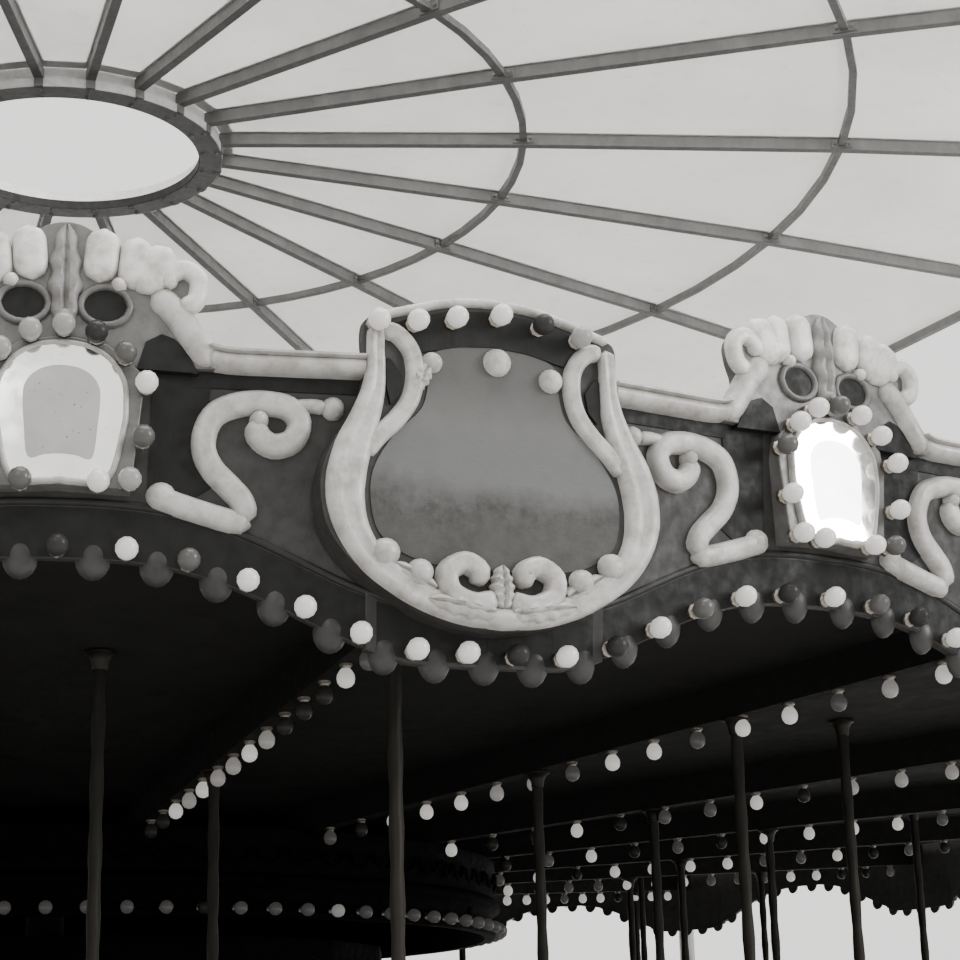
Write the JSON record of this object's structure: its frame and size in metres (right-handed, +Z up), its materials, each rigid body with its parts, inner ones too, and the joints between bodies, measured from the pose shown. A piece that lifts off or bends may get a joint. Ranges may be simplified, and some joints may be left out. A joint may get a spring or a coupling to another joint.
{
  "type": "fairground carousel",
  "caption": "Fairground carousel: turning platform, sweeps and rounding boards with mirrors and shields, under a fixed round canopy.",
  "frame": {"origin": "on the turning axis at ground level", "axes": "+Z up along the turning axis, -Y towards the viewer, +X to the viewer's right"},
  "size_m": [16.1262, 15.9412, 7.9427],
  "materials": {
    "housing_paint": "painted, dark",
    "mast_steel": "painted steel",
    "frame_steel": "grey paint, satin",
    "canopy_fabric": "translucent coated cloth",
    "ceiling_paint": "dark painted boards",
    "cornice_paint": "painted, carved",
    "sweep_wood": "painted timber",
    "board_paint": "painted carved boards",
    "deck_wood": "worn planks",
    "mirror_glass": "silvered, bevelled",
    "lamp_glass": "frosted lamps",
    "brass": "dull brass and dark steel fittings",
    "picture_paint": "painted landscape"
  },
  "bodies": {
    "stand": {"centre_housing": "housing_paint", "centre_mast": "mast_steel", "column_01": "frame_steel", "column_02": "frame_steel", "column_03": "frame_steel", "column_04": "frame_steel", "column_05": "frame_steel", "column_06": "frame_steel", "column_07": "frame_steel", "column_08": "frame_steel", "column_09": "frame_steel", "column_10": "frame_steel", "canopy_frame_01": "frame_steel", "canopy_frame_02": "frame_steel", "canopy_frame_03": "frame_steel", "canopy_frame_04": "frame_steel", "canopy_frame_05": "frame_steel", "canopy_cover": "canopy_fabric"},
    "turntable": {"sweep_hub": "mast_steel", "ceiling": "ceiling_paint", "inner_cornice": "cornice_paint", "sweep_01": "sweep_wood", "sweep_02": "sweep_wood", "sweep_03": "sweep_wood", "sweep_04": "sweep_wood", "sweep_05": "sweep_wood", "sweep_06": "sweep_wood", "sweep_07": "sweep_wood", "sweep_08": "sweep_wood", "sweep_09": "sweep_wood", "sweep_10": "sweep_wood", "sweep_11": "sweep_wood", "sweep_12": "sweep_wood", "sweep_13": "sweep_wood", "sweep_14": "sweep_wood", "sweep_15": "sweep_wood", "sweep_16": "sweep_wood", "sweep_17": "sweep_wood", "sweep_18": "sweep_wood", "rounding_boards_01": "board_paint", "rounding_boards_02": "board_paint", "rounding_boards_03": "board_paint", "rounding_boards_04": "board_paint", "rounding_boards_05": "board_paint", "rounding_boards_06": "board_paint", "platform_01": "deck_wood", "platform_02": "deck_wood", "platform_03": "deck_wood", "platform_04": "deck_wood", "platform_05": "deck_wood", "platform_06": "deck_wood"}
  },
  "joints": [
    {"name": "turntable_spin", "type": "hinge", "parent": "stand", "child": "turntable", "pos_m": [0, 0, 2.69], "axis": [0, 0, 1], "continuous": true}
  ]
}
